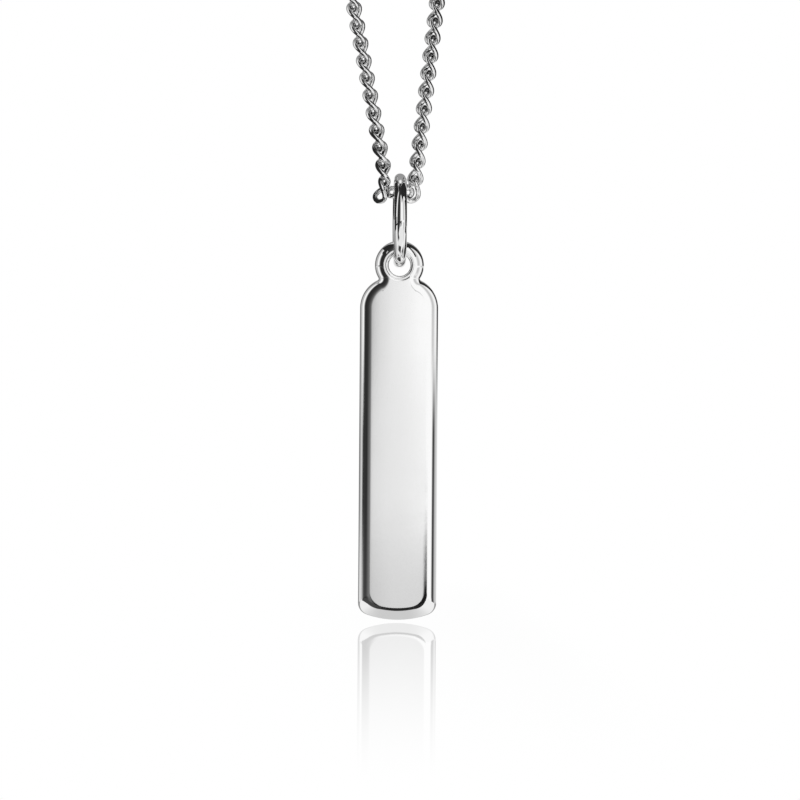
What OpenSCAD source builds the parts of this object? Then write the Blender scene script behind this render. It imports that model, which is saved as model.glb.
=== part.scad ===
// A plain bar pendant that hangs by its round ear from a jump ring on a curb chain.
// The origin is the inside of the chain loop's top, where the necklace hangs. +Z is up,
// the loop lies in the XZ plane and the bar shows its flat front towards -Y.

/* [Bar] */
// Height of the bar with its ear
bar_height = 30; // [26:0.5:36]
// Width of the bar
bar_width = 6.2; // [5.6:0.1:7]
// Thickness of the bar, whose edges are fully round
bar_thickness = 1.6; // [1.4:0.05:1.7]
// Radius of the two round shoulders, seen from the front
shoulder_r = 2.45; // [2.2:0.05:2.7]
// Height from the ear's centre down to where the shoulders end
shoulder_drop = 3.4; // [3.2:0.05:4]
// Radius of the shallow curve along the bottom
foot_r = 7.2; // [6:0.1:12]
// Radius of the two bottom corners, seen from the front
corner_r = 1; // [0.9:0.05:1.4]

/* [Ear] */
// Outer radius of the ear
ear_r = 1.95; // [1.9:0.01:2.1]
// Radius of the ear's hole
hole_r = 0.85; // [0.8:0.01:0.9]
// Rounding of the hole's two edges
hole_edge_r = 0.22; // [0.16:0.02:0.26]
// Radius of the notch between the ear and a shoulder
notch_r = 0.13; // [0.1:0.01:0.2]

/* [Jump ring] */
// Outer diameter of the jump ring
ring_outer_d = 7.5; // [7.4:0.1:8]
// Wire of the jump ring
ring_wire_d = 1; // [0.9:0.02:1]

/* [Chain] */
// Wire of the chain's links
link_wire_d = 0.34; // [0.3:0.01:0.34]
// Half length of a link, to the middle of its wire
link_half_length = 0.97; // [0.96:0.01:0.98]
// Half width of a link, to the middle of its wire
link_half_width = 0.68; // [0.67:0.01:0.69]
// Twist of a link's two ends out of its middle plane
link_twist = 65; // [62:1:66]
// Distance from one link to the next
link_pitch = 1.4; // [1.39:0.01:1.41]
// Turn of the strands about their own line, 0 is broad side to the front
strand_roll = 75; // [74:0.5:76]
// Links above the lowest one on each side that are made one by one
links_per_side = 12; // [4:1:12]
// Diameter of the plain tube for the rest of the chain
tube_d = 1.5; // [1.2:0.1:1.6]

/* [Clasp] */
// Length of the clasp's barrel
clasp_length = 7; // [6:0.5:8]
// Diameter of the clasp's barrel
clasp_d = 2.6; // [2.2:0.1:3]
// Wire of the clasp's two eyes
eye_wire_d = 0.55; // [0.5:0.05:0.6]
// Ring radius of the clasp's two eyes, to the middle of the wire
eye_r = 0.75; // [0.7:0.05:0.8]

/* [Hidden] */

// Centre of the lowest link, [x, z]
low_link = [5.2, -205.45];
// Lowest link lies flat, its two long sides one behind the other, and is twisted a little less
low_roll = 90;
low_twist = 60;
// First link beside the lowest one: [x, z] from low_link, lean from upright, roll
first_left = [-1.42, 0.21, -15.6, 95];
first_right = [0.99, 0.25, 17.4, 48.7];
// Lean from upright of the second link on each side
second_lean_left = 5.5;
second_lean_right = 6.3;
// Lean of the straight strands
strand_lean_left = 10.9;
strand_lean_right = 6.6;

// Jump ring, hung from the lowest link
ring_r = (ring_outer_d - ring_wire_d) / 2;
ring_seat = 1;
ring_z = low_link.y + ring_seat - ring_r;

// Bar, hung from the jump ring's lowest wire with a small running gap
hang_gap = 0.08;
ear_z = ring_z - ring_r - (hole_r - ring_wire_d / 2 - hang_gap);
edge_r = bar_thickness / 2;
shoulder_x = bar_width / 2 - shoulder_r;

// Notch between ear and shoulder, its centre [x, y] from the ear's centre
ear_to_notch = ear_r + notch_r;
ear_to_shoulder = norm([shoulder_x, shoulder_drop]);
shoulder_to_notch = shoulder_r + notch_r;
notch_turn = atan2(shoulder_drop, shoulder_x) - acos(
    (pow(ear_to_shoulder, 2) + pow(ear_to_notch, 2) - pow(shoulder_to_notch, 2))
    / (2 * ear_to_shoulder * ear_to_notch));
notch_at = ear_to_notch * [cos(notch_turn), -sin(notch_turn)];
shoulder_turn = atan2(notch_at.y + shoulder_drop, notch_at.x - shoulder_x);

// Foot and its two corners, from the ear's centre
foot_centre = ear_r - bar_height + foot_r;
corner_swing = asin((bar_width / 2 - corner_r) / (foot_r - corner_r));
corner_at = [bar_width / 2 - corner_r, foot_centre - (foot_r - corner_r) * cos(corner_swing)];

// The arcs of the bar's outline, from the ear's right end over its top and down the left
// side: centre, radius, first angle, last angle, steps, and 1 where a straight side follows
ear_steps = 42;
arc_steps = 10;
foot_steps = 12;
bar_arcs = [
    [[0, 0], ear_r, -notch_turn, 180 + notch_turn, ear_steps, 0],
    [[-notch_at.x, notch_at.y], notch_r, notch_turn, -shoulder_turn, arc_steps, 0],
    [[-shoulder_x, -shoulder_drop], shoulder_r, 180 - shoulder_turn, 180, arc_steps, 1],
    [[-corner_at.x, corner_at.y], corner_r, 180, 270 - corner_swing, arc_steps, 0],
    [[0, foot_centre], foot_r, 270 - corner_swing, 270 + corner_swing, foot_steps, 0],
    [corner_at, corner_r, 270 + corner_swing, 360, arc_steps, 1],
    [[shoulder_x, -shoulder_drop], shoulder_r, 0, shoulder_turn, arc_steps, 0],
    [notch_at, notch_r, 180 + shoulder_turn, 180 - notch_turn, arc_steps, 0]
];
ear_top = ear_steps / 2;
foot_middle = ear_steps + 3 * arc_steps + 1 + foot_steps / 2;
rim_steps = 12;
hole_sides = 48;
hole_edge_steps = 4;
// The round hole is cut this much wider than the skin's own
hole_lap = 0.06;

// Links
link_rings = 16;
link_sides = 6;

// From the last link's end to where the plain tube starts
tube_gap = 0.6;

// The hidden stretch of the chain as [x, z], up the left side, over the top and down to
// the clasp, then from the clasp down the right side
route_left = [
    tube_start(-1, first_left, second_lean_left, strand_lean_left),
    [-0.7, -177], [-3.9, -160], [-7.6, -140], [-11.3, -120], [-15, -100],
    [-18.7, -80], [-22.4, -60], [-26.1, -40], [-28, -27], [-26, -17], [-19.8, -7.5],
    [-10.4, -1.3], [0, 0.8], [8.7, -0.6], [15.6, -4]
];
route_right = [
    [23.2, -11.5], [26.6, -18.5], [27.9, -28], [26.7, -40], [24.2, -60], [21.8, -80],
    [19.3, -100], [16.9, -120], [14.4, -140], [12, -160], [9.9, -177],
    tube_start(1, first_right, second_lean_right, strand_lean_right)
];
tube_sides = 8;
rings_per_stretch = 3;

// Clasp, between the two ends of the hidden stretch
clasp_at = [19.6, -7.6];
clasp_turn = 45;

// Points along a smooth curve through p, n for each stretch between two of them
function clamped(p, i) = p[max(0, min(len(p) - 1, i))];
function on_curve(p, i, t) =
    let (a = clamped(p, i - 1), b = clamped(p, i), c = clamped(p, i + 1), d = clamped(p, i + 2))
    0.5 * (2 * b + (c - a) * t + (2 * a - 5 * b + 4 * c - d) * t * t
        + (3 * b - a - 3 * c + d) * t * t * t);
function smooth(p, n) = [
    for (i = [0 : len(p) - 2]) for (k = [0 : n - 1]) on_curve(p, i, k / n),
    p[len(p) - 1]
];

function unit(v) = v / norm(v);

// Direction of a strand that leans away from the middle, side is -1 left and 1 right
function leaning(side, lean) = [side * sin(lean), cos(lean)];

// Lower end of the third link on one side, where the straight strand starts
function strand_foot(side, first, second_lean) =
    [low_link.x + first[0], low_link.y + first[1]]
    + leaning(side, first[2]) * link_pitch / 2 + leaning(side, second_lean) * link_pitch;

// Where the plain tube goes on past a strand's last link
function tube_start(side, first, second_lean, lean) =
    strand_foot(side, first, second_lean)
    + leaning(side, lean) * (link_pitch * (links_per_side - 2) + tube_gap);

// Faces between closed rings of points, whose first point has the index start
function skin(start, count, sides, closed) = [
    for (i = [0 : closed ? count - 1 : count - 2]) for (k = [0 : sides - 1])
        let (
            a = start + i * sides + k,
            b = start + i * sides + (k + 1) % sides,
            c = start + ((i + 1) % count) * sides + (k + 1) % sides,
            d = start + ((i + 1) % count) * sides + k
        )
        each [[a, b, c], [a, c, d]]
];

function backwards(list) = [for (i = [len(list) - 1 : -1 : 0]) list[i]];

// Solid through closed rings of points, each ring round the wire once
module ring_chain(rings, sides, closed) {
    count = len(rings);
    caps = closed ? [] : [
        [for (k = [sides - 1 : -1 : 0]) k],
        [for (k = [0 : sides - 1]) (count - 1) * sides + k]
    ];
    polyhedron(
        points = [for (r = rings) each r],
        faces = concat(skin(0, count, sides, closed), caps),
        convexity = 4
    );
}

// Middle line of a twisted oval link, its length along X and its width along Y
function link_line(t, twist) =
    let (turn = -twist * cos(t), side = link_half_width * sin(t))
    [link_half_length * cos(t), side * cos(turn), side * sin(turn)];

// One twisted oval link about the origin
module curb_link(twist) {
    step = 360 / link_rings;
    rings = [
        for (i = [0 : link_rings - 1])
            let (
                here = link_line(i * step, twist),
                along = unit(link_line((i + 0.5) * step, twist) - link_line((i - 0.5) * step, twist)),
                out = unit(here - (here * along) * along),
                across = cross(along, out)
            )
            [for (k = [0 : link_sides - 1])
                let (turn = 360 * k / link_sides)
                here + link_wire_d / 2 * (cos(turn) * out + sin(turn) * across)]
    ];
    ring_chain(rings, link_sides, true);
}

// A link with its middle at [x, z], its length up at the given lean and rolled about it
module placed_link(at, side, lean, roll, twist = link_twist) {
    along = side * (90 - lean);
    translate([at.x, 0, at.y]) rotate([0, -along, 0]) rotate([90 - roll, 0, 0]) curb_link(twist);
}

// The links of one strand, the two that lean round the jump ring and then the straight run
module strand(side, first, second_lean, lean) {
    foot = strand_foot(side, first, second_lean);
    placed_link([low_link.x + first[0], low_link.y + first[1]], side, first[2], first[3]);
    placed_link(foot - leaning(side, second_lean) * link_pitch / 2, side, second_lean, strand_roll);
    for (i = [0 : links_per_side - 3])
        placed_link(foot + leaning(side, lean) * link_pitch * (i + 0.5), side, lean, strand_roll);
}

module chain_front() {
    color("silver") {
        placed_link(low_link, 1, 90, low_roll, low_twist);
        strand(-1, first_left, second_lean_left, strand_lean_left);
        strand(1, first_right, second_lean_right, strand_lean_right);
    }
}

// Plain round tube along a route of [x, z] points
module tube(route) {
    line = smooth(route, rings_per_stretch);
    last = len(line) - 1;
    rings = [
        for (i = [0 : last])
            let (
                along = unit(line[min(last, i + 1)] - line[max(0, i - 1)]),
                out = [-along.y, 0, along.x]
            )
            [for (k = [0 : tube_sides - 1])
                let (turn = 360 * k / tube_sides)
                [line[i].x, 0, line[i].y] + tube_d / 2 * (cos(turn) * out + sin(turn) * [0, 1, 0])]
    ];
    ring_chain(rings, tube_sides, false);
}

module chain_back() {
    color("silver") {
        tube(route_left);
        tube(route_right);
    }
}

module jump_ring() {
    color("gainsboro")
        translate([low_link.x, 0, ring_z]) rotate([0, 90, 0])
            rotate_extrude($fn = 96) translate([ring_r, 0]) circle(d = ring_wire_d, $fn = 48);
}

// The bar's outline moved inward, as [x, y] from the ear's centre
function bar_outline(inset) = [
    for (arc = bar_arcs)
        for (i = [0 : arc[4] - 1 + arc[5]])
            let (
                turn = arc[2] + (arc[3] - arc[2]) * i / arc[4],
                reach = arc[3] > arc[2] ? arc[1] - inset : arc[1] + inset
            )
            arc[0] + reach * [cos(turn), sin(turn)]
];

// Triangles between a left and a right chain of points that both run down along Y
function zipped(points, left, right, i = 0, j = 0) =
    let (left_done = i == len(left) - 1, right_done = j == len(right) - 1)
    left_done && right_done ? []
    : right_done || (!left_done && points[left[i + 1]].y >= points[right[j + 1]].y)
        ? concat([[left[i], right[j], left[i + 1]]], zipped(points, left, right, i + 1, j))
        : concat([[left[i], right[j], right[j + 1]]], zipped(points, left, right, i, j + 1));

// Rings of points down the hole and its rounded edges, each from the top round the left side
function hole_rings() = [
    for (face = [1, -1]) for (k = [0 : hole_edge_steps])
        let (
            turn = 90 * (face > 0 ? k : hole_edge_steps - k) / hole_edge_steps,
            reach = hole_r - hole_lap + (hole_edge_r + hole_lap) * (1 - sin(turn)),
            depth = face * (edge_r - (hole_edge_r + hole_lap) * (1 - cos(turn)))
        )
        [for (i = [0 : hole_sides - 1])
            let (round = 90 + 360 * i / hole_sides)
            [reach * cos(round), reach * sin(round), depth]]
];

// The bar with its ear, flat on both faces and fully round along its whole rim
module bar() {
    rim = [
        for (k = [0 : rim_steps])
            let (turn = 90 - 180 * k / rim_steps)
            [for (at = bar_outline(edge_r * (1 - cos(turn)))) [at.x, at.y, edge_r * sin(turn)]]
    ];
    hole = hole_rings();
    points = [for (r = concat(rim, hole)) each r];
    rim_sides = len(rim[0]);
    hole_start = len(rim) * rim_sides;
    rim_left = [for (i = [ear_top : foot_middle]) i];
    rim_right = [for (i = [rim_sides + ear_top : -1 : foot_middle]) i % rim_sides];
    hole_left = [for (i = [0 : hole_sides / 2]) hole_start + i];
    hole_right = [for (i = [hole_sides : -1 : hole_sides / 2]) hole_start + i % hole_sides];
    front = concat(zipped(points, rim_left, hole_left), zipped(points, hole_right, rim_right));
    to_back = [hole_start - rim_sides, (len(hole) - 1) * hole_sides];
    back = [for (f = front) [for (i = backwards(f)) i + to_back[i < hole_start ? 0 : 1]]];
    inside = [for (f = skin(hole_start, len(hole), hole_sides, false)) backwards(f)];
    color("whitesmoke") translate([low_link.x, 0, ear_z]) rotate([90, 0, 0]) difference() {
        polyhedron(
            points = points,
            faces = concat(skin(0, len(rim), rim_sides, false), inside, front, back),
            convexity = 6
        );
        cylinder(r = hole_r, h = 2 * bar_thickness, center = true, $fn = 96);
    }
}

// Plain barrel with a round eye at each end, its length along X
module clasp() {
    color("silver") translate([clasp_at.x, 0, clasp_at.y]) rotate([0, clasp_turn, 0]) {
        rotate([0, 90, 0]) cylinder(d = clasp_d, h = clasp_length, center = true, $fn = 64);
        for (side = [-1, 1])
            translate([side * (clasp_length / 2 + eye_r - eye_wire_d / 4), 0, 0])
                rotate([90, 0, 0]) rotate_extrude($fn = 64)
                    translate([eye_r, 0]) circle(d = eye_wire_d, $fn = 32);
    }
}

bar();
jump_ring();
chain_front();
chain_back();
clasp();
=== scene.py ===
# Looks of a plain bar pendant on a fine curb chain. Sizes are in millimetres and MM turns them
# into metres.
import math

import bmesh
import bpy
import numpy as np
from mathutils import Matrix, Vector


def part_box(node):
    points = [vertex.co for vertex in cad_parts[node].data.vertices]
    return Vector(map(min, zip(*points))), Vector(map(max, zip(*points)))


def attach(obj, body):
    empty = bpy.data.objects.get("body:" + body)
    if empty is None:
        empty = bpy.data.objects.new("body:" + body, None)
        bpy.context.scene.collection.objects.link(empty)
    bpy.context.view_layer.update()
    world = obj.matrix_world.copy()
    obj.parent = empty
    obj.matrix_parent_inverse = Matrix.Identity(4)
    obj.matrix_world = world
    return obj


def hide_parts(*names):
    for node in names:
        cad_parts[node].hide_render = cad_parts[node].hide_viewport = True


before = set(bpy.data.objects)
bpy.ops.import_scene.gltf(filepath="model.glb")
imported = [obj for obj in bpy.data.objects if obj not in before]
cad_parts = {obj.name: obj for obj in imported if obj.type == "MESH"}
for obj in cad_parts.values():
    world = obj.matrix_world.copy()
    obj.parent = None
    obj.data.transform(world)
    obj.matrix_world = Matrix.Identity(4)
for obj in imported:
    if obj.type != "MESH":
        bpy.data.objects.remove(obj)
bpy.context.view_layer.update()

MM = 0.001

# Bar, its outline from the ear's centre
BAR_HEIGHT = 30
BAR_WIDTH = 6.2
SHOULDER_R = 2.45
SHOULDER_DROP = 3.4
FOOT_R = 7.2
CORNER_R = 1.0
EAR_R = 1.95
HOLE_R = 0.85
NOTCH_R = 0.13
HOLE_EDGE_R = 0.22
# Shallow groove round the hole's edge
GROOVE_REACH = 0.2
GROOVE_DEPTH = 0.035
# How far the round rim reaches in, seen from the front, and the turn where it meets the face
RIM_REACH = 0.75
RIM_TURN = math.radians(82)
# Soft strip between the rim and the face, and how far it dips
STRIP = 0.22
STRIP_DIP = 0.0094
EAR_STRIP = 0.08
# Corner radius of the rim's inner end, rounder than the outline's corner
FACE_CORNER_R = 1.25
# Points of the face's middle line below the ear, and the share of its end that belongs to the
# foot's corners
SPINE_TOP = -SHOULDER_DROP
SPINE_LOW = -25.7
SPINE_END = -26.6
SPINE_CORNER_SHARE = 0.6
# The face's height over the bar's middle plane, and its drop at a distance from its middle line
FACE_RISE = 0.8
FACE_DROP = 0.062
FACE_HALF = 2.3
# Steps round the outline's stretches, and across the bar's surface
EAR_STEPS = 90
NOTCH_STEPS = 24
SHOULDER_STEPS = 36
SIDE_STEPS = 90
CORNER_STEPS = 24
FOOT_STEPS = 30
RIM_STEPS = 22
STRIP_STEPS = 4
FACE_STEPS = 12
GROOVE_STEPS = 8
HOLE_STEPS = 8

# Jump ring
RING_R = 3.25
RING_WIRE_R = 0.5
RING_STEPS = 256
RING_SIDES = 64

# Chain. The first link on each side has its place from the lowest link, its lean and its roll.
LINK_WIRE_R = 0.2
LINK_HALF_LENGTH = 0.97
LINK_HALF_WIDTH = 0.68
LINK_TWIST = math.radians(-65)
LOW_TWIST = math.radians(-60)
LINK_PITCH = 1.4
STRAND_ROLL = 75
LINKS_PER_SIDE = 12
LOW_LINK = (5.2, -205.45)
LOW_ROLL = 90
FIRST_LEFT = (-1.42, 0.21, -15.6, 95)
FIRST_RIGHT = (0.99, 0.25, 17.4, 48.7)
SECOND_LEAN_LEFT = 5.5
SECOND_LEAN_RIGHT = 6.3
STRAND_LEAN_LEFT = 10.9
STRAND_LEAN_RIGHT = 6.6
LEFT_STRAND = (-1, FIRST_LEFT, SECOND_LEAN_LEFT, STRAND_LEAN_LEFT)
RIGHT_STRAND = (1, FIRST_RIGHT, SECOND_LEAN_RIGHT, STRAND_LEAN_RIGHT)
FRONT_STEPS = 72
FRONT_SIDES = 20
BACK_STEPS = 32
BACK_SIDES = 12
# The rest of the loop, from the left strand's upper end to the clasp and from there to the
# right strand's
ROUTE_LEFT = [
    (-0.7, -177), (-3.9, -160), (-7.6, -140), (-11.3, -120), (-15, -100), (-18.7, -80),
    (-22.4, -60), (-26.1, -40), (-28, -27), (-26, -17), (-19.8, -7.5), (-10.4, -1.3), (0, 0.8),
    (8.7, -0.6), (15.6, -4),
]
ROUTE_RIGHT = [
    (23.2, -11.5), (26.6, -18.5), (27.9, -28), (26.7, -40), (24.2, -60), (21.8, -80),
    (19.3, -100), (16.9, -120), (14.4, -140), (12, -160), (9.9, -177),
]
ROUTE_STEPS = 24
# Distance along the route over which a link's direction is taken, to each side
ROUTE_REACH = 0.4

# Clasp
CLASP_AT = (19.6, -7.6)
CLASP_TURN = math.radians(45)
CLASP_LENGTH = 7
CLASP_R = 1.3
CLASP_EDGE_R = 0.35
CLASP_EDGE_STEPS = 10
CLASP_SIDES = 96
EYE_WIRE_R = 0.275
EYE_R = 0.75
EYE_STEPS = 96
EYE_SIDES = 32

# Distances in metres under which points are one, and edges are dropped
BAR_MERGE = 2e-7
BAR_THIN = 1e-8
CLASP_MERGE = 1e-7

# The main view: its middle in the loop's plane and the width that it shows
VIEW_CENTRE = (5.32, -221.88)
VIEW_WIDTH = 63.3
VIEW_AZIMUTH = math.radians(-1.4)
VIEW_ROLL = math.radians(0.4)
LENS = 250
SENSOR = 36
CLIP_START = 0.01
CLIP_END = 20


def make_camera():
    data = bpy.data.cameras.new("camera")
    data.lens = LENS
    data.sensor_width = SENSOR
    distance = VIEW_WIDTH * LENS / SENSOR
    back = Vector((math.sin(VIEW_AZIMUTH), -math.cos(VIEW_AZIMUTH), 0))
    camera = bpy.data.objects.new("camera", data)
    target = Vector((VIEW_CENTRE[0], 0, VIEW_CENTRE[1]))
    camera.location = (target + back * distance) * MM
    turn = (-back).to_track_quat("-Z", "Y") @ Matrix.Rotation(VIEW_ROLL, 3, "Z").to_quaternion()
    camera.rotation_mode = "QUATERNION"
    camera.rotation_quaternion = turn
    data.clip_start = CLIP_START
    data.clip_end = CLIP_END
    bpy.context.scene.collection.objects.link(camera)
    bpy.context.scene.camera = camera


def grey(level):
    return (level, level, level, 1)


class Nodes:
    """A short way to add linked nodes to one node tree."""

    def __init__(self, tree):
        self.tree = tree
        tree.nodes.clear()

    def add(self, kind, **sockets):
        node = self.tree.nodes.new(kind)
        for name, value in sockets.items():
            numbered = name[0] == "i" and name[1:].isdigit()
            self.put(node.inputs[int(name[1:]) if numbered else name.replace("_", " ")], value)
        return node

    def put(self, socket, value):
        if isinstance(value, bpy.types.NodeSocket):
            self.tree.links.new(value, socket)
        else:
            socket.default_value = value

    def math(self, operation, a, b=0.0):
        node = self.add("ShaderNodeMath", i0=a, i1=b)
        node.operation = operation
        return node.outputs[0]

    def times(self, a, b):
        return self.math("MULTIPLY", a, b)

    def rest(self, share):
        return self.math("SUBTRACT", 1.0, share)

    def smooth(self, value, low, high):
        node = self.add("ShaderNodeMapRange", Value=value, From_Min=low, From_Max=high)
        node.interpolation_type = "SMOOTHSTEP"
        return node.outputs["Result"]

    def zone(self, value, low, low_full, high_full, high):
        """1 between the two full limits, and 0 outside the outer two."""
        fall = self.smooth(value, high_full, high)
        return self.times(self.smooth(value, low, low_full), self.rest(fall))

    def ramp(self, value, stops):
        """Grey levels at the given places from 0 to 1."""
        node = self.add("ShaderNodeValToRGB", Fac=value)
        marks = node.color_ramp.elements
        while len(marks) < len(stops):
            marks.new(1.0)
        for mark, (place, level) in zip(marks, stops):
            mark.position = place
            mark.color = grey(level)
        return node.outputs["Color"]

    def mix(self, factor, a, b):
        """The first colour where the factor is 0, the second where it is 1."""
        node = self.add("ShaderNodeMix", i0=factor)
        node.data_type = "RGBA"
        self.put(node.inputs[6], a)
        self.put(node.inputs[7], b)
        return node.outputs[2]


# Brightness of the studio all round the object, by degrees from the front to the left (less
# than 0) and to the right, in three rows for low, middle and high directions
ROUND_LOW = [
    (-180, 1.0), (-158, 0.6), (-146, 0.15), (-132, 0.15), (-122, 0.6), (-105, 0.8), (-85, 0.66),
    (-70, 0.5), (-60, 0.18), (-50, 0.07), (-38, 0.05), (-27, 0.06), (-17, 0.1), (-10, 0.2),
    (-6, 0.52), (-4, 0.62), (0, 0.69), (7.5, 0.7), (9, 0.02), (15, 0.02), (18, 1.0), (64, 1.0),
    (92, 0.62), (122, 0.55), (142, 0.75), (180, 1.0),
]
ROUND_MIDDLE = [
    (-180, 1.0), (-158, 0.6), (-146, 0.12), (-132, 0.12), (-120, 0.35), (-108, 0.45), (-98, 0.55),
    (-91, 0.7), (-84, 0.65), (-76, 0.2), (-70, 0.06), (-62, 0.02), (-52, 0.035), (-28, 0.025),
    (-17, 0.1), (-9, 0.22), (-6, 0.58), (-4.5, 0.745), (-2, 0.81), (2, 0.845), (4.5, 0.88),
    (8, 0.95), (12, 1.0), (66, 1.0), (90, 0.62), (120, 0.62), (134, 0.75), (180, 1.0),
]
ROUND_HIGH = [
    (-180, 1.0), (-158, 0.6), (-146, 0.12), (-130, 0.12), (-118, 0.5), (-98, 0.5), (-84, 1.0),
    (-70, 0.9), (-62, 0.2), (-56, 0.04), (-48, 0.02), (-26, 0.033), (-16, 0.06), (-10, 0.13),
    (-6, 0.42), (-3, 0.72), (0, 0.85), (3, 0.91), (6, 1.0), (34, 1.0), (42, 0.75), (50, 0.55),
    (60, 0.6), (74, 0.85), (86, 1.0), (98, 0.9), (107, 0.6), (113, 0.02), (140, 0.02),
    (150, 0.6), (180, 1.0),
]
# Brightness over and under the object, by degrees from the front upward and downward
OVER_AND_UNDER = [
    (-180, 1.0), (-170, 0.5), (-150, 0.4), (-136, 0.75), (-60, 0.85), (-20, 0.85), (40, 0.8),
    (58, 0.5), (65, 0.03), (101, 0.02), (104, 1.0), (114, 1.0), (119, 0.33), (162, 0.3),
    (172, 0.5), (176, 1.0), (180, 1.0),
]
# Heights in degrees over which one row passes into the next
HIGH_TO_LOW = (-4.5, -3.2)
LOW_TO_MIDDLE = (-2.0, -1.0)
MIDDLE_TO_HIGH = (-0.4, 0.8)
# Dark arc in front, just over the pale floor, that draws the line round the face's foot. It lies
# outside an ellipse, and its other limits are its angle off the front, its fall and its left end.
ARC_HALF_WIDTH = 7.3
ARC_HALF_HEIGHT = 1.1
ARC_FALL = 2.2
ARC_EDGE = (0.98, 1.12)
ARC_LEAN_END = (15.5, 17.0)
ARC_FALL_START = (1.4, 2.0)
ARC_LEFT_END = (-12.0, -5.0)
ARC_LEVEL = 0.01
# Parts with a level of their own, in degrees: down to the left in front, a little over the front
# where the face shows it only to the floor, and low all round the front
PALE_LEFT_AROUND = (-170.0, -158.0, -136.0, -127.0)
PALE_LEFT_LEAN = (7.0, 12.0, 42.0, 54.0)
PALE_LEFT_LEVEL = 0.95
GREY_FRONT_TURN = (-7.0, -4.5, 7.5, 9.5)
GREY_FRONT_HEIGHT = (2.0, 2.3, 4.0, 4.6)
GREY_FRONT_LEVEL = 0.66
PALE_LOW_TURN = (-22.0, -12.0, 50.0, 70.0)
PALE_LOW_FALL = (14.0, 22.0)
PALE_LOW_LEVEL = 0.85
# Directions lit by OVER_AND_UNDER: nearly upright in degrees, and those behind that lie close to
# the middle plane, as parts of a unit direction and as a height in degrees
STEEP_UP = (56.0, 66.0)
STEEP_DOWN = (38.0, 48.0)
BEHIND_DEPTH = (0.15, 0.3)
BEHIND_HEIGHT = (4.0, 12.0)
BEHIND_ASIDE = (0.3, 0.55)


def make_world():
    world = bpy.data.worlds.new("studio")
    bpy.context.scene.world = world
    world.use_nodes = True
    n = Nodes(world.node_tree)
    direction = n.add("ShaderNodeTexCoord").outputs["Generated"]
    x, y, z = n.add("ShaderNodeSeparateXYZ", Vector=direction).outputs
    front = n.times(y, -1.0)
    round_turn = n.math("DEGREES", n.math("ARCTAN2", x, front))
    over_turn = n.math("DEGREES", n.math("ARCTAN2", z, front))
    height = n.math("DEGREES", n.math("ARCSINE", z))

    def row(turn, stops):
        place = n.math("ADD", n.math("DIVIDE", turn, 360.0), 0.5)
        return n.ramp(place, [((angle + 180) / 360, level) for angle, level in stops])

    low, middle, high = (row(round_turn, stops) for stops in (ROUND_LOW, ROUND_MIDDLE, ROUND_HIGH))
    side = n.mix(n.smooth(height, *HIGH_TO_LOW), high, low)
    side = n.mix(n.smooth(height, *LOW_TO_MIDDLE), side, middle)
    side = n.mix(n.smooth(height, *MIDDLE_TO_HIGH), side, high)

    fallen = n.times(height, -1.0)
    lean = n.math("DEGREES", n.math("ARCCOSINE", front))
    around = n.math("DEGREES", n.math("ARCTAN2", x, z))
    across = n.math("DIVIDE", round_turn, ARC_HALF_WIDTH)
    down = n.math("DIVIDE", n.math("SUBTRACT", fallen, ARC_FALL), ARC_HALF_HEIGHT)
    down = n.math("MAXIMUM", down, 0.0)
    square = n.math("ADD", n.math("POWER", across, 2.0), n.math("POWER", down, 2.0))
    arc = n.smooth(n.math("SQRT", square), *ARC_EDGE)
    arc = n.times(arc, n.rest(n.smooth(lean, *ARC_LEAN_END)))
    arc = n.times(arc, n.smooth(fallen, *ARC_FALL_START))
    arc = n.times(arc, n.smooth(round_turn, *ARC_LEFT_END))
    side = n.mix(arc, side, grey(ARC_LEVEL))

    pale_left = n.times(n.zone(around, *PALE_LEFT_AROUND), n.zone(lean, *PALE_LEFT_LEAN))
    side = n.mix(pale_left, side, grey(PALE_LEFT_LEVEL))
    grey_front = n.times(n.zone(round_turn, *GREY_FRONT_TURN), n.zone(height, *GREY_FRONT_HEIGHT))
    side = n.mix(grey_front, side, grey(GREY_FRONT_LEVEL))
    pale_low = n.times(n.zone(round_turn, *PALE_LOW_TURN), n.smooth(fallen, *PALE_LOW_FALL))
    side = n.mix(pale_low, side, grey(PALE_LOW_LEVEL))

    behind = n.times(n.smooth(y, *BEHIND_DEPTH), n.smooth(height, *BEHIND_HEIGHT))
    behind = n.times(behind, n.rest(n.smooth(n.math("ABSOLUTE", x), *BEHIND_ASIDE)))
    upright = n.math("MAXIMUM", n.smooth(height, *STEEP_UP), n.smooth(fallen, *STEEP_DOWN))
    steep = n.math("MAXIMUM", upright, behind)
    level = n.mix(steep, side, row(over_turn, OVER_AND_UNDER))

    camera_ray = n.add("ShaderNodeLightPath").outputs["Is Camera Ray"]
    shown = n.mix(camera_ray, level, grey(1))
    background = n.add("ShaderNodeBackground", Color=shown, Strength=1.0)
    n.add("ShaderNodeOutputWorld", Surface=background.outputs[0])


def new_object(name, vertices, faces, smooth=True):
    """A mesh object from millimetre points."""
    mesh = bpy.data.meshes.new(name)
    mesh.from_pydata([tuple(v) for v in np.asarray(vertices, float) * MM], [], faces)
    mesh.validate()
    mesh.update()
    if smooth:
        mesh.polygons.foreach_set("use_smooth", [True] * len(mesh.polygons))
    obj = bpy.data.objects.new(name, mesh)
    bpy.context.scene.collection.objects.link(obj)
    return obj


# Pale floor just under the foot, polished near it. The polish fades to the front, to the back and
# to the sides, and where the floor is seen steeply.
FLOOR_Z = -239.4
FOOT_X = 5.0
FLOOR_REACH = 3000
MIRROR_SHARE = 0.42
MIRROR_ROUGHNESS = 0.02
MIRROR_FRONT = (-190 * MM, 0.0)
MIRROR_BACK = (40 * MM, 120 * MM)
MIRROR_SIDE = (7 * MM, 14 * MM)
MIRROR_FACING = (0.45, 0.85)


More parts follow.
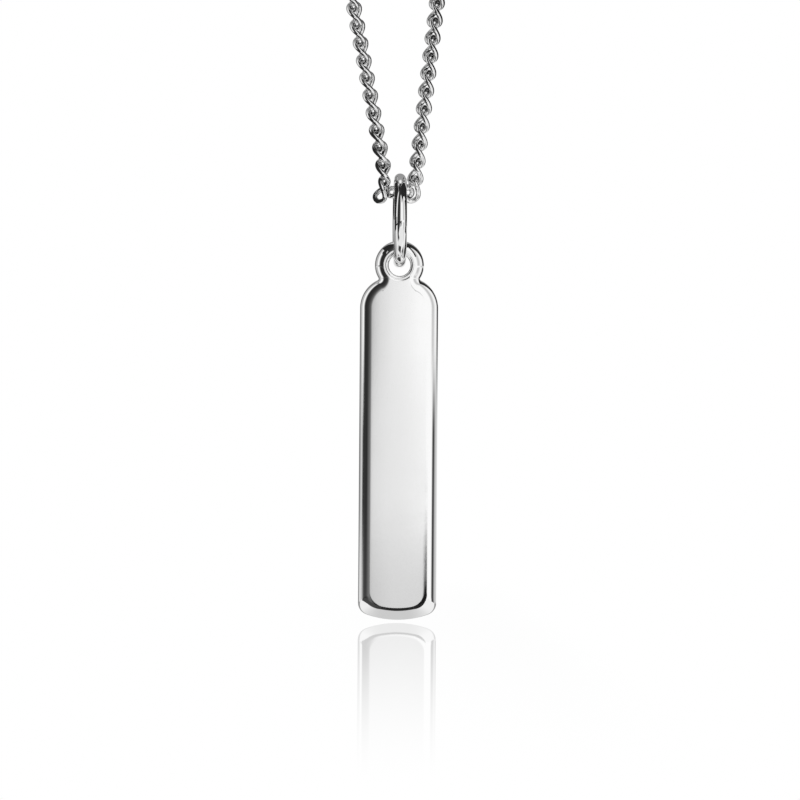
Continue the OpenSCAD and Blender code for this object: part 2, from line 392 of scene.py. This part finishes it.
def floor_corners(middle_x, reach, z):
    return [(middle_x + a * reach, b * reach, z) for a, b in ((-1, -1), (1, -1), (1, 1), (-1, 1))]


def make_floor():
    floor = new_object("floor", floor_corners(0, FLOOR_REACH, FLOOR_Z), [(0, 1, 2, 3)], False)
    material = bpy.data.materials.new("pale_floor")
    material.use_nodes = True
    n = Nodes(material.node_tree)
    place = n.add("ShaderNodeTexCoord").outputs["Object"]
    x, depth = n.add("ShaderNodeSeparateXYZ", Vector=place).outputs[:2]
    near = n.times(n.smooth(depth, *MIRROR_FRONT), MIRROR_SHARE)
    behind = n.smooth(depth, *MIRROR_BACK)
    beside = n.math("ABSOLUTE", n.math("SUBTRACT", x, FOOT_X * MM))
    aside = n.smooth(beside, *MIRROR_SIDE)
    open_part = n.rest(n.math("MAXIMUM", behind, aside))
    facing = n.add("ShaderNodeLayerWeight", Blend=0.5).outputs["Facing"]
    share = n.times(n.times(near, open_part), n.smooth(facing, *MIRROR_FACING))
    pale = n.add("ShaderNodeEmission", Color=grey(1), Strength=1.0)
    mirror = n.add("ShaderNodeBsdfGlossy", Color=grey(1), Roughness=MIRROR_ROUGHNESS)
    surface = n.add("ShaderNodeMixShader", i0=share, i1=pale.outputs[0], i2=mirror.outputs[0])
    clear = n.add("ShaderNodeBsdfTransparent")
    under = n.add("ShaderNodeNewGeometry").outputs["Backfacing"]
    both = n.add("ShaderNodeMixShader", i0=under, i1=surface.outputs[0], i2=clear.outputs[0])
    n.add("ShaderNodeOutputMaterial", Surface=both.outputs[0])
    floor.data.materials.append(material)
    floor.visible_glossy = False
    floor.visible_diffuse = False
    floor.visible_shadow = False


def glow_material(name, level, share=None):
    """Light from the front side of a face alone, with nothing on its back."""
    material = bpy.data.materials.new(name)
    material.use_nodes = True
    n = Nodes(material.node_tree)
    place = n.add("ShaderNodeTexCoord").outputs["Object"]
    x, y, z = n.add("ShaderNodeSeparateXYZ", Vector=place).outputs
    shine = n.add("ShaderNodeEmission", Color=level(n, x, y, z), Strength=1.0)
    clear = n.add("ShaderNodeBsdfTransparent")
    gone = n.add("ShaderNodeNewGeometry").outputs["Backfacing"]
    if share:
        gone = n.math("MAXIMUM", gone, n.rest(share(n, x, y, z)))
    surface = n.add("ShaderNodeMixShader", i0=gone, i1=shine.outputs[0], i2=clear.outputs[0])
    n.add("ShaderNodeOutputMaterial", Surface=surface.outputs[0])
    return material


def make_card(name, corners, material):
    """A flat shape that shows in reflections only."""
    card = new_object(name, corners, [tuple(range(len(corners)))], False)
    card.data.materials.append(material)
    card.visible_camera = False
    card.visible_shadow = False


# The floor close to the foot, seen only in the bar's polish: painted shade in a dimmer grey right
# round the foot and paler aside, with a dark gap further out in front that draws the dark line round
# the bottom of the face, and grey behind the bar
GLOW_REACH = 16
GLOW_LIFT = 0.02
GLOW_SHADE_LEVEL = 0.62
GLOW_ASIDE = (1.0, 4.0)
GLOW_ASIDE_LEVEL = 0.9
GLOW_BEHIND = (0.3, 0.9)
GLOW_BEHIND_LEVEL = 0.3
GAP_NEAR = 3.2
GAP_EDGE = (-0.3, 0.3)
GAP_LEFT_SLOPE = 0.6
GAP_LEFT_RISE = 2.6
GAP_RIGHT_BEND = 0.32
GAP_LEVEL = 0.02
GAP_LEFT = (0.5, 3.0)
GAP_LEFT_LEVEL = 0.06


def make_floor_glow():
    def level(n, x, y, z):
        beside = n.math("SUBTRACT", n.math("DIVIDE", x, MM), FOOT_X)
        forward = n.math("DIVIDE", y, -MM)
        backward = n.times(forward, -1.0)
        on_left = n.math("MAXIMUM", n.times(beside, -1.0), 0.0)
        on_right = n.math("MAXIMUM", beside, 0.0)
        rise = n.math("MINIMUM", n.times(on_left, GAP_LEFT_SLOPE), GAP_LEFT_RISE)
        bend = n.times(n.times(on_right, on_right), GAP_RIGHT_BEND)
        limit = n.math("ADD", n.math("ADD", GAP_NEAR, rise), bend)
        aside = n.smooth(n.math("ADD", on_left, on_right), *GLOW_ASIDE)
        # Painted shade: dimmer right round the foot than further aside
        pale = n.mix(aside, grey(GLOW_SHADE_LEVEL), grey(GLOW_ASIDE_LEVEL))
        pale = n.mix(n.smooth(backward, *GLOW_BEHIND), pale, grey(GLOW_BEHIND_LEVEL))
        dark = n.mix(n.smooth(on_left, *GAP_LEFT), grey(GAP_LEVEL), grey(GAP_LEFT_LEVEL))
        return n.mix(n.smooth(n.math("SUBTRACT", forward, limit), *GAP_EDGE), pale, dark)

    corners = floor_corners(FOOT_X, GLOW_REACH, FLOOR_Z + GLOW_LIFT)
    make_card("floor_glow", corners, glow_material("floor_glow", level))


# Dark card on the right beside the lower half of the bar, with levels by place along Y. It stands
# a little skewed, so that the floor's polish doesn't show its front in the main view.
CARD_X = 15.2
CARD_SKEW = 0.65
CARD_TOP = -217
CARD_FULL = -225
CARD_FRONT = -12
CARD_BACK = 5
CARD_STOPS = [
    (-12, 1.0), (-7.4, 1.0), (-6.2, 0.8), (-5.4, 0.4), (-4.7, 0.04), (-2.6, 0.06), (-1.4, 0.2),
    (-0.5, 0.45), (1.0, 0.55), (5, 0.7),
]


def make_side_card():
    def level(n, x, y, z):
        reach = CARD_BACK - CARD_FRONT
        along = n.math("DIVIDE", n.math("SUBTRACT", y, CARD_FRONT * MM), reach * MM)
        return n.ramp(along, [((at - CARD_FRONT) / reach, tone) for at, tone in CARD_STOPS])

    def share(n, x, y, z):
        return n.rest(n.smooth(z, CARD_FULL * MM, CARD_TOP * MM))

    near, far = CARD_X - CARD_SKEW, CARD_X + CARD_SKEW
    corners = [
        (near, CARD_FRONT, FLOOR_Z), (near, CARD_FRONT, CARD_TOP),
        (far, CARD_BACK, CARD_TOP), (far, CARD_BACK, FLOOR_Z),
    ]
    make_card("side_card", corners, glow_material("side_card", level, share))


# Plain cards round the jump ring and the chain, seen only in their polish. A card stands across
# one axis at a place, is an outline along the other two, and has a grey level.
FLAGS = {
    "flag_right": (
        "x",
        CARD_X,
        [
            (2.3, -208.5), (-4.4, -197), (-14, -190), (-30, -182), (-30, -150), (12, -150),
            (12, -208.5),
        ],
        0.02,
    ),
    "flag_near_left": (
        "x",
        1.9,
        [(-1.0, -209), (-1.0, -208), (2.0, -208), (2.0, -200), (-3.6, -200), (-3.6, -209)],
        0.02,
    ),
    "card_near_left": (
        "x", 1.9, [(-3.7, -208.3), (-3.7, -207.2), (-5.4, -207.2), (-5.4, -208.3)], 0.45,
    ),
    "flag_near_right": (
        "x", 8.5, [(-3.7, -209.5), (-3.7, -204.5), (-2.4, -204.5), (-2.4, -209.5)], 0.02,
    ),
    "flag_under": ("z", -208.5, [(-40, -20), (2.5, -20), (2.5, 15), (-40, 15)], 0.02),
}


def make_flags():
    for name, (axis, place, outline, tone) in FLAGS.items():
        spot = "xyz".index(axis)
        corners = [(*pair[:spot], place, *pair[spot:]) for pair in outline]
        make_card(name, corners, glow_material(name, lambda n, x, y, z: grey(tone)))


# Polish: the fine grain, broad patches of it that are more or less rough, and painted shade in
# the nooks between links, a darker colour where the wires lie close
GRAIN_DETAIL = 3.0
GRAIN_FADE = 0.6
GRAIN_TINT = (0.2, 0.8)
GRAIN_DULL = (0.985, 0.985, 0.98)
GRAIN_BRIGHT = (1.0, 1.0, 1.003)
PATCH_GRAINS = 9
PATCH_DETAIL = 2.0
PATCH_RANGE = (0.3, 0.7)
PATCH_ROUGH = (0.7, 1.5)
NOOK_SHADE_RANGE = (0.3, 0.8)
NOOK_SHADE_LEVEL = 0.02


def silver(name, tone, roughness, grain, grain_height, brushed=1.0, nook_shade_width=0.0):
    """Polished silver. Brushed draws the grain out upright, and the last is the painted nook shade's
    width.
    """
    material = bpy.data.materials.new(name)
    material.use_nodes = True
    n = Nodes(material.node_tree)
    place = n.add("ShaderNodeTexCoord").outputs["Object"]
    stretched = n.add("ShaderNodeMapping", Vector=place, Scale=(1.0, 1.0, 1 / brushed))
    fine = n.add(
        "ShaderNodeTexNoise",
        Vector=stretched.outputs[0],
        Scale=1 / (grain * MM),
        Detail=GRAIN_DETAIL,
        Roughness=GRAIN_FADE,
    ).outputs["Fac"]
    patches = n.add(
        "ShaderNodeTexNoise",
        Vector=place,
        Scale=1 / (PATCH_GRAINS * grain * MM),
        Detail=PATCH_DETAIL,
    ).outputs["Fac"]
    uneven = n.add(
        "ShaderNodeMapRange",
        Value=patches,
        From_Min=PATCH_RANGE[0],
        From_Max=PATCH_RANGE[1],
        To_Min=roughness * PATCH_ROUGH[0],
        To_Max=roughness * PATCH_ROUGH[1],
    )
    bump = n.add("ShaderNodeBump", Height=fine, Strength=1.0, Distance=grain_height * MM)
    tint = n.add("ShaderNodeMapRange", Value=fine, From_Min=GRAIN_TINT[0], From_Max=GRAIN_TINT[1])
    dull, bright = ((*(tone * part for part in parts), 1) for parts in (GRAIN_DULL, GRAIN_BRIGHT))
    colour = n.mix(tint.outputs["Result"], dull, bright)
    # Painted shade: the colour darkens to near black where ambient occlusion finds other wire close by
    if nook_shade_width:
        open_share = n.add("ShaderNodeAmbientOcclusion", Distance=nook_shade_width * MM).outputs["AO"]
        colour = n.mix(n.smooth(open_share, *NOOK_SHADE_RANGE), grey(NOOK_SHADE_LEVEL), colour)
    shader = n.add(
        "ShaderNodeBsdfPrincipled",
        Metallic=1.0,
        Base_Color=colour,
        Roughness=uneven.outputs["Result"],
        Normal=bump.outputs["Normal"],
    )
    n.add("ShaderNodeOutputMaterial", Surface=shader.outputs[0])
    return material


def finish_piece(obj, body, slot, material, *nodes):
    obj.data.materials.clear()
    obj.data.materials.append(material)
    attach(obj, body)
    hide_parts(*nodes)


def bar_columns():
    """Lines across the bar's rim: for each, a function of the inset and its place on the middle line."""
    shoulder_x = BAR_WIDTH / 2 - SHOULDER_R
    ear_to_notch = EAR_R + NOTCH_R
    ear_to_shoulder = math.hypot(shoulder_x, SHOULDER_DROP)
    shoulder_to_notch = SHOULDER_R + NOTCH_R
    notch_turn = math.atan2(SHOULDER_DROP, shoulder_x) - math.acos(
        (ear_to_shoulder**2 + ear_to_notch**2 - shoulder_to_notch**2)
        / (2 * ear_to_shoulder * ear_to_notch)
    )
    notch = np.array([math.cos(notch_turn), -math.sin(notch_turn)]) * ear_to_notch
    shoulder_turn = math.atan2(notch[1] + SHOULDER_DROP, notch[0] - shoulder_x)
    foot_centre = EAR_R - BAR_HEIGHT + FOOT_R
    mouth = HOLE_R + HOLE_EDGE_R + GROOVE_REACH

    def at(centre, radius, turn):
        return np.array(centre) + radius * np.array([math.cos(turn), math.sin(turn)])

    def corner(inset):
        radius = CORNER_R + (FACE_CORNER_R - CORNER_R) * inset / RIM_REACH
        reach = FOOT_R - inset - radius
        x = BAR_WIDTH / 2 - inset - radius
        swing = math.asin(x / reach)
        return radius, (x, foot_centre - reach * math.cos(swing)), swing

    def ear(share):
        turn = math.pi / 2 - share * (math.pi / 2 + notch_turn)
        return lambda inset: at((0, 0), EAR_R - inset, turn), at((0, 0), mouth, turn)

    def notch_edge(share):
        turn = math.pi - notch_turn + share * (notch_turn + shoulder_turn)
        hole_turn = -notch_turn - share * (math.pi / 2 - notch_turn)
        return lambda inset: at(notch, NOTCH_R + inset, turn), at((0, 0), mouth, hole_turn)

    def shoulder(share):
        turn = shoulder_turn * (1 - share)
        centre = (shoulder_x, -SHOULDER_DROP)
        spine = -mouth + share * (SPINE_TOP + mouth)
        return lambda inset: at(centre, SHOULDER_R - inset, turn), np.array([0, spine])

    def side(share):
        def line(inset):
            low = corner(inset)[1][1]
            return np.array([BAR_WIDTH / 2 - inset, -SHOULDER_DROP + share * (low + SHOULDER_DROP)])

        return line, np.array([0, SPINE_TOP + share * (SPINE_LOW - SPINE_TOP)])

    def corner_edge(share):
        def line(inset):
            radius, centre, swing = corner(inset)
            return at(centre, radius, -share * (math.pi / 2 - swing))

        done = share * SPINE_CORNER_SHARE
        return line, np.array([0, SPINE_LOW + done * (SPINE_END - SPINE_LOW)])

    def foot(share):
        def line(inset):
            swing = corner(inset)[2] * (1 - share)
            return at((0, foot_centre), FOOT_R - inset, swing - math.pi / 2)

        done = SPINE_CORNER_SHARE + share * (1 - SPINE_CORNER_SHARE)
        return line, np.array([0, SPINE_LOW + done * (SPINE_END - SPINE_LOW)])

    stretches = (
        (ear, EAR_STEPS), (notch_edge, NOTCH_STEPS), (shoulder, SHOULDER_STEPS), (side, SIDE_STEPS),
        (corner_edge, CORNER_STEPS), (foot, FOOT_STEPS),
    )
    columns = []
    for stretch, steps in stretches:
        holed = stretch in (ear, notch_edge)
        for i in range(steps):
            line, spine = stretch(i / steps)
            if stretch is ear:
                strip = EAR_STRIP
            elif stretch is notch_edge:
                strip = EAR_STRIP + (STRIP - EAR_STRIP) * i / steps
            else:
                strip = STRIP
            columns.append((line, spine, holed or (stretch is shoulder and i == 0), strip))
    columns.append((*foot(1.0), False, STRIP))
    return columns


def face_height(x):
    """The slightly domed face's height over the bar's middle plane."""
    return FACE_RISE - FACE_DROP * (x / FACE_HALF) ** 2


def make_bar(ear_centre):
    """A quarter of the bar, mirrored to its other side and its back."""
    rows = []
    for line, spine, holed, strip in bar_columns():
        edge = line(RIM_REACH)
        dip = STRIP_DIP * strip / STRIP
        rise = (face_height(edge[0]) - dip) / math.sin(RIM_TURN)
        column = []
        for k in range(RIM_STEPS + 1):
            turn = RIM_TURN * k / RIM_STEPS
            at = line(RIM_REACH * (1 - math.cos(turn)) / (1 - math.cos(RIM_TURN)))
            column.append((at[0], -rise * math.sin(turn), at[1]))
        for k in range(1, STRIP_STEPS + 1):
            share = k / STRIP_STEPS
            at = line(RIM_REACH + strip * share)
            column.append((at[0], dip * (1 - share) ** 2 - face_height(at[0]), at[1]))
        edge = at
        for k in range(1, FACE_STEPS + 1):
            at = edge + (spine - edge) * k / FACE_STEPS
            column.append((at[0], -face_height(at[0]), at[1]))
        if holed:
            out = spine / np.linalg.norm(spine)
            for k in range(1, GROOVE_STEPS + 1):
                share = k / GROOVE_STEPS
                at = out * (HOLE_R + HOLE_EDGE_R + GROOVE_REACH * (1 - share))
                sink = GROOVE_DEPTH * math.sin(math.pi * share) ** 2
                column.append((at[0], sink - face_height(at[0]), at[1]))
            top = -column[-1][1]
            for k in range(1, HOLE_STEPS + 1):
                turn = math.pi / 2 * k / HOLE_STEPS
                at = out * (HOLE_R + HOLE_EDGE_R * (1 - math.sin(turn)))
                column.append((at[0], -top + HOLE_EDGE_R * (1 - math.cos(turn)), at[1]))
            at = out * HOLE_R
            column.append((at[0], 0.0, at[1]))
        rows.append(column)
    mesh = bpy.data.meshes.new("bar_polished")
    bm = bmesh.new()
    for side in (1, -1):
        for face in (1, -1):
            grid = [
                [bm.verts.new((side * x * MM, face * y * MM, z * MM)) for x, y, z in column]
                for column in rows
            ]
            for a, b in zip(grid, grid[1:]):
                for k in range(min(len(a), len(b)) - 1):
                    quad = [a[k], b[k], b[k + 1], a[k + 1]]
                    bm.faces.new(quad if side * face > 0 else quad[::-1])
    bmesh.ops.remove_doubles(bm, verts=bm.verts, dist=BAR_MERGE)
    bmesh.ops.dissolve_degenerate(bm, edges=bm.edges, dist=BAR_THIN)
    bmesh.ops.recalc_face_normals(bm, faces=bm.faces)
    for face in bm.faces:
        face.smooth = True
    bm.to_mesh(mesh)
    bm.free()
    obj = bpy.data.objects.new("bar_polished", mesh)
    mesh.transform(Matrix.Translation(Vector(ear_centre) * MM))
    bpy.context.scene.collection.objects.link(obj)
    return obj


def ring_points(centre_line, radius, sides):
    """Closed tube round a closed line of points, and its faces."""
    count = len(centre_line)
    along = np.roll(centre_line, -1, 0) - np.roll(centre_line, 1, 0)
    along /= np.linalg.norm(along, axis=1)[:, None]
    middle = centre_line.mean(0)
    out = centre_line - middle
    out -= (out * along).sum(1)[:, None] * along
    out /= np.linalg.norm(out, axis=1)[:, None]
    across = np.cross(along, out)
    turn = 2 * math.pi * np.arange(sides) / sides
    points = (
        centre_line[:, None]
        + radius * np.cos(turn)[None, :, None] * out[:, None]
        + radius * np.sin(turn)[None, :, None] * across[:, None]
    ).reshape(-1, 3)
    i, k = np.meshgrid(np.arange(count), np.arange(sides), indexing="ij")
    a = i * sides + k
    b = i * sides + (k + 1) % sides
    c = (i + 1) % count * sides + (k + 1) % sides
    d = (i + 1) % count * sides + k
    return points, np.stack([a, b, c, d], -1).reshape(-1, 4)


def circle_line(centre, radius, steps, first_axis, second_axis):
    """Points of a circle through the ends of two axes."""
    turn = 2 * math.pi * np.arange(steps) / steps
    return (
        np.array(centre, float)
        + radius * np.cos(turn)[:, None] * np.array(first_axis, float)
        + radius * np.sin(turn)[:, None] * np.array(second_axis, float)
    )


def link_line(steps, twist):
    """Middle line of a link's wire, an oval twisted along its length."""
    t = 2 * math.pi * np.arange(steps) / steps
    turn = twist * np.cos(t)
    side = LINK_HALF_WIDTH * np.sin(t)
    return np.stack([LINK_HALF_LENGTH * np.cos(t), side * np.cos(turn), side * np.sin(turn)], 1)


def placed(points, at, direction, roll):
    """Link points with their length along a direction in the loop's plane, rolled about it."""
    dx, dz = direction
    along = np.array([dx, 0, dz])
    beside = np.array([-dz, 0, dx])
    depth = np.array([0.0, 1.0, 0.0])
    c, s = math.cos(math.radians(roll)), math.sin(math.radians(roll))
    width = c * beside + s * depth
    thick = -c * depth + s * beside
    return np.array([at[0], 0, at[1]]) + points @ np.stack([along, width, thick])


def leaning(side, lean):
    """Upward direction that leans to one side by degrees."""
    return np.array([side * math.sin(math.radians(lean)), math.cos(math.radians(lean))])


def strand_start(first):
    return np.array(LOW_LINK) + np.array(first[:2])


def strand_foot(side, first, second_lean):
    """End of a strand's second link, where its straight part begins."""
    steps = leaning(side, first[2]) / 2 + leaning(side, second_lean)
    return strand_start(first) + steps * LINK_PITCH


def strand_end(side, first, second_lean, lean):
    length = LINK_PITCH * (LINKS_PER_SIDE - 2)
    return strand_foot(side, first, second_lean) + leaning(side, lean) * length


def front_links():
    """Place, direction, roll and twist of each link that was made one by one."""
    links = [(np.array(LOW_LINK), (1.0, 0.0), LOW_ROLL, LOW_TWIST)]
    for side, first, second_lean, lean in (LEFT_STRAND, RIGHT_STRAND):
        start = strand_start(first)
        foot = strand_foot(side, first, second_lean)
        second = foot - leaning(side, second_lean) * LINK_PITCH / 2
        links.append((start, side * leaning(side, first[2]), first[3], LINK_TWIST))
        links.append((second, side * leaning(side, second_lean), STRAND_ROLL, LINK_TWIST))
        for i in range(LINKS_PER_SIDE - 2):
            at = foot + leaning(side, lean) * LINK_PITCH * (i + 0.5)
            links.append((at, side * leaning(side, lean), STRAND_ROLL, LINK_TWIST))
    return links


def smooth_route(points, steps):
    """Smooth line through all the points, with steps from each to the next."""
    p = np.array(points, float)
    out = []
    for i in range(len(p) - 1):
        a, b, c, d = p[max(i - 1, 0)], p[i], p[i + 1], p[min(i + 2, len(p) - 1)]
        for t in np.arange(steps) / steps:
            out.append(
                0.5
                * (
                    2 * b
                    + (c - a) * t
                    + (2 * a - 5 * b + 4 * c - d) * t**2
                    + (3 * b - a - 3 * c + d) * t**3
                )
            )
    out.append(p[-1])
    return np.array(out)


def route_links(points, from_clasp):
    """Links along a route. One end is the clasp, where the last link's middle lies on it."""
    line = smooth_route(points, ROUTE_STEPS)
    length = np.concatenate([[0], np.cumsum(np.linalg.norm(np.diff(line, axis=0), axis=1))])
    count = round(length[-1] / LINK_PITCH + 0.5)
    pitch = length[-1] / (count - 0.5)
    first = 0.0 if from_clasp else pitch / 2
    links = []
    for s in first + pitch * np.arange(count):
        at, ahead, behind = (
            np.array([np.interp(s + step, length, line[:, k]) for k in (0, 1)])
            for step in (0, ROUTE_REACH, -ROUTE_REACH)
        )
        direction = (behind - ahead) / np.linalg.norm(ahead - behind)
        links.append((at, direction, STRAND_ROLL, LINK_TWIST))
    return links


def make_chain(name, links, steps, sides):
    """All the links as one object, with steps along each link's wire and sides round it."""
    every, all_faces, count = [], [], 0
    for at, direction, roll, twist in links:
        points, faces = ring_points(link_line(steps, twist), LINK_WIRE_R, sides)
        every.append(placed(points, at, direction, roll))
        all_faces.append(faces + count)
        count += len(points)
    return new_object(name, np.concatenate(every), np.concatenate(all_faces).tolist())


def make_clasp():
    """Plain barrel with round ends and a round eye at each end."""
    half = CLASP_LENGTH / 2
    flat = CLASP_R - CLASP_EDGE_R
    profile = [(-half, 0.0), (-half, flat)]
    for k in range(1, CLASP_EDGE_STEPS + 1):
        turn = math.pi / 2 * k / CLASP_EDGE_STEPS
        inward = CLASP_EDGE_R * (1 - math.cos(turn))
        profile.append((inward - half, flat + CLASP_EDGE_R * math.sin(turn)))
    profile += [(-x, r) for x, r in reversed(profile)]
    points, faces = [], []
    for x, r in profile:
        for k in range(CLASP_SIDES):
            turn = 2 * math.pi * k / CLASP_SIDES
            points.append((x, r * math.cos(turn), r * math.sin(turn)))
    for i in range(len(profile) - 1):
        for k in range(CLASP_SIDES):
            a, b = i * CLASP_SIDES + k, i * CLASP_SIDES + (k + 1) % CLASP_SIDES
            faces.append((a, b, b + CLASP_SIDES, a + CLASP_SIDES))
    points = np.array(points)
    for side in (-1, 1):
        centre = (side * (half + EYE_R - EYE_WIRE_R / 2), 0, 0)
        line = circle_line(centre, EYE_R, EYE_STEPS, (1, 0, 0), (0, 0, 1))
        ring, skin = ring_points(line, EYE_WIRE_R, EYE_SIDES)
        faces += (skin + len(points)).tolist()
        points = np.concatenate([points, ring])
    obj = new_object("clasp_barrel", points, [tuple(f) for f in faces])
    bm = bmesh.new()
    bm.from_mesh(obj.data)
    bmesh.ops.remove_doubles(bm, verts=bm.verts, dist=CLASP_MERGE)
    bmesh.ops.recalc_face_normals(bm, faces=bm.faces)
    bm.to_mesh(obj.data)
    bm.free()
    turn = Matrix.Rotation(CLASP_TURN, 4, "Y")
    obj.data.transform(Matrix.Translation(Vector((CLASP_AT[0], 0, CLASP_AT[1])) * MM) @ turn)
    obj.data.polygons.foreach_set("use_smooth", [True] * len(obj.data.polygons))
    return obj


make_camera()
make_world()
make_floor()
make_floor_glow()
make_side_card()
make_flags()

ring_low, ring_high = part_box("jump_ring")
ring_centre = (ring_low + ring_high) / 2 / MM
bar_low, bar_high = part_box("bar")
ear_centre = ((bar_low.x + bar_high.x) / 2 / MM, 0, bar_high.z / MM - EAR_R)

bar_silver = silver(
    "bar_silver", tone=0.96, roughness=0.04, grain=0.2, grain_height=0.0004, brushed=3.0
)
wire_silver = silver("wire_silver", tone=0.94, roughness=0.05, grain=0.15, grain_height=0.0006)
# The chain's silver carries painted shade in the nooks between links
chain_silver = silver(
    "chain_silver", tone=0.95, roughness=0.03, grain=0.1, grain_height=0.0004, nook_shade_width=0.16
)

finish_piece(make_bar(ear_centre), "bar", "bar", bar_silver, "bar")

ring_line = circle_line(ring_centre, RING_R, RING_STEPS, (0, 1, 0), (0, 0, 1))
ring_mesh, ring_skin = ring_points(ring_line, RING_WIRE_R, RING_SIDES)
ring_wire = new_object("ring_wire", ring_mesh, ring_skin.tolist())
finish_piece(ring_wire, "ring", "jump_ring", wire_silver, "jump_ring")

left_route = route_links([strand_end(*LEFT_STRAND)] + ROUTE_LEFT, False)
right_route = route_links(ROUTE_RIGHT + [strand_end(*RIGHT_STRAND)], True)
for name, links, steps, sides, node in (
    ("links_front", front_links(), FRONT_STEPS, FRONT_SIDES, "chain_front"),
    ("links_left", left_route, BACK_STEPS, BACK_SIDES, "chain_back"),
    ("links_right", right_route, BACK_STEPS, BACK_SIDES, "chain_back"),
):
    finish_piece(make_chain(name, links, steps, sides), "chain", "chain", chain_silver, node)
finish_piece(make_clasp(), "chain", "clasp", wire_silver, "clasp")

view = bpy.context.scene.view_settings
view.view_transform = "Standard"
view.look = "None"
view.exposure = 0
view.gamma = 1
